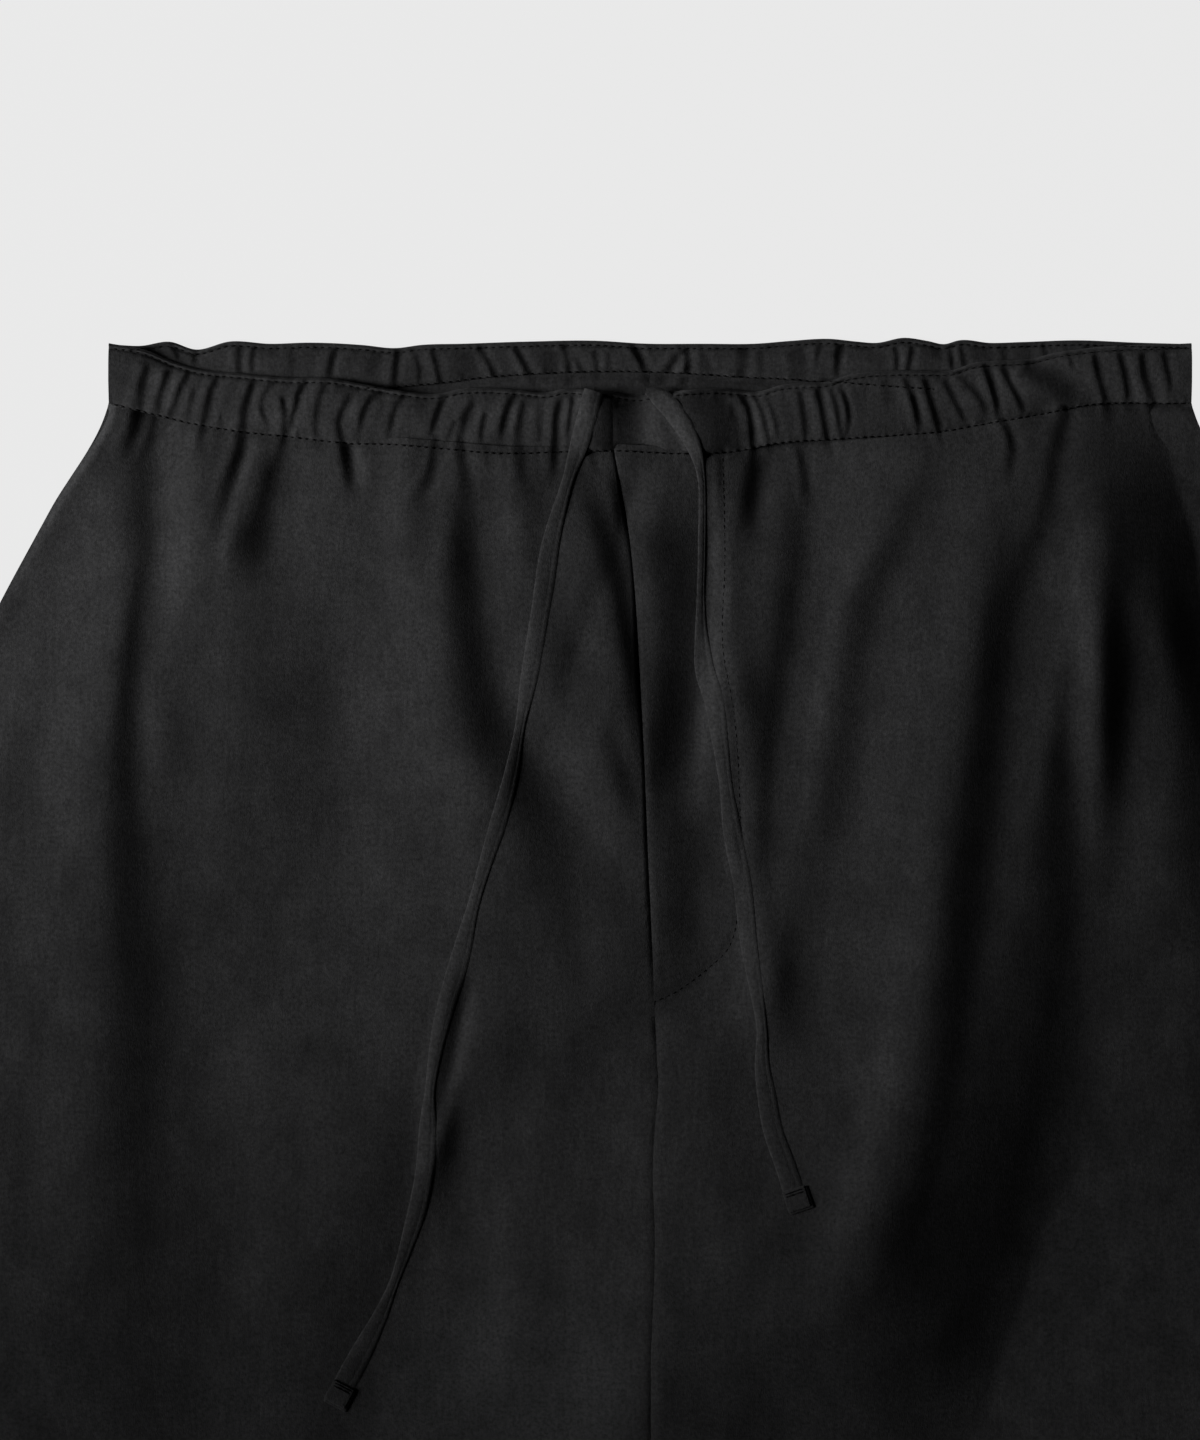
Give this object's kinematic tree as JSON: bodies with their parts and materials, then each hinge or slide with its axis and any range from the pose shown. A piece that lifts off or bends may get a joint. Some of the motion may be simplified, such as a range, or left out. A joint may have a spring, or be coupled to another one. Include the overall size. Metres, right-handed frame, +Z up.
{
  "type": "relaxed pants",
  "caption": "Relaxed trousers laid flat, with a gathered elastic waistband, a stitched fly front, straight wide legs and a flat drawstring whose ends lie free on the front.",
  "frame": {"origin": "centre of the footprint, on the surface that the back lies on", "axes": "+Y towards the waist, +X towards the wearer's left, +Z up from the surface, out of the front"},
  "size_m": [0.5794, 1.0607, 0.0172],
  "materials": {
    "cloth": "black twill, softly brushed",
    "tape": "black flat tape of the same cloth"
  },
  "bodies": {
    "root": {"front_right": "cloth", "front_left": "cloth", "back_right": "cloth", "back_left": "cloth", "band_front_right": "cloth", "band_front_left": "cloth", "band_back": "cloth", "tape_right": "tape", "tape_left": "tape", "tape_right_end": "tape", "tape_left_end": "tape"}
  },
  "joints": []
}
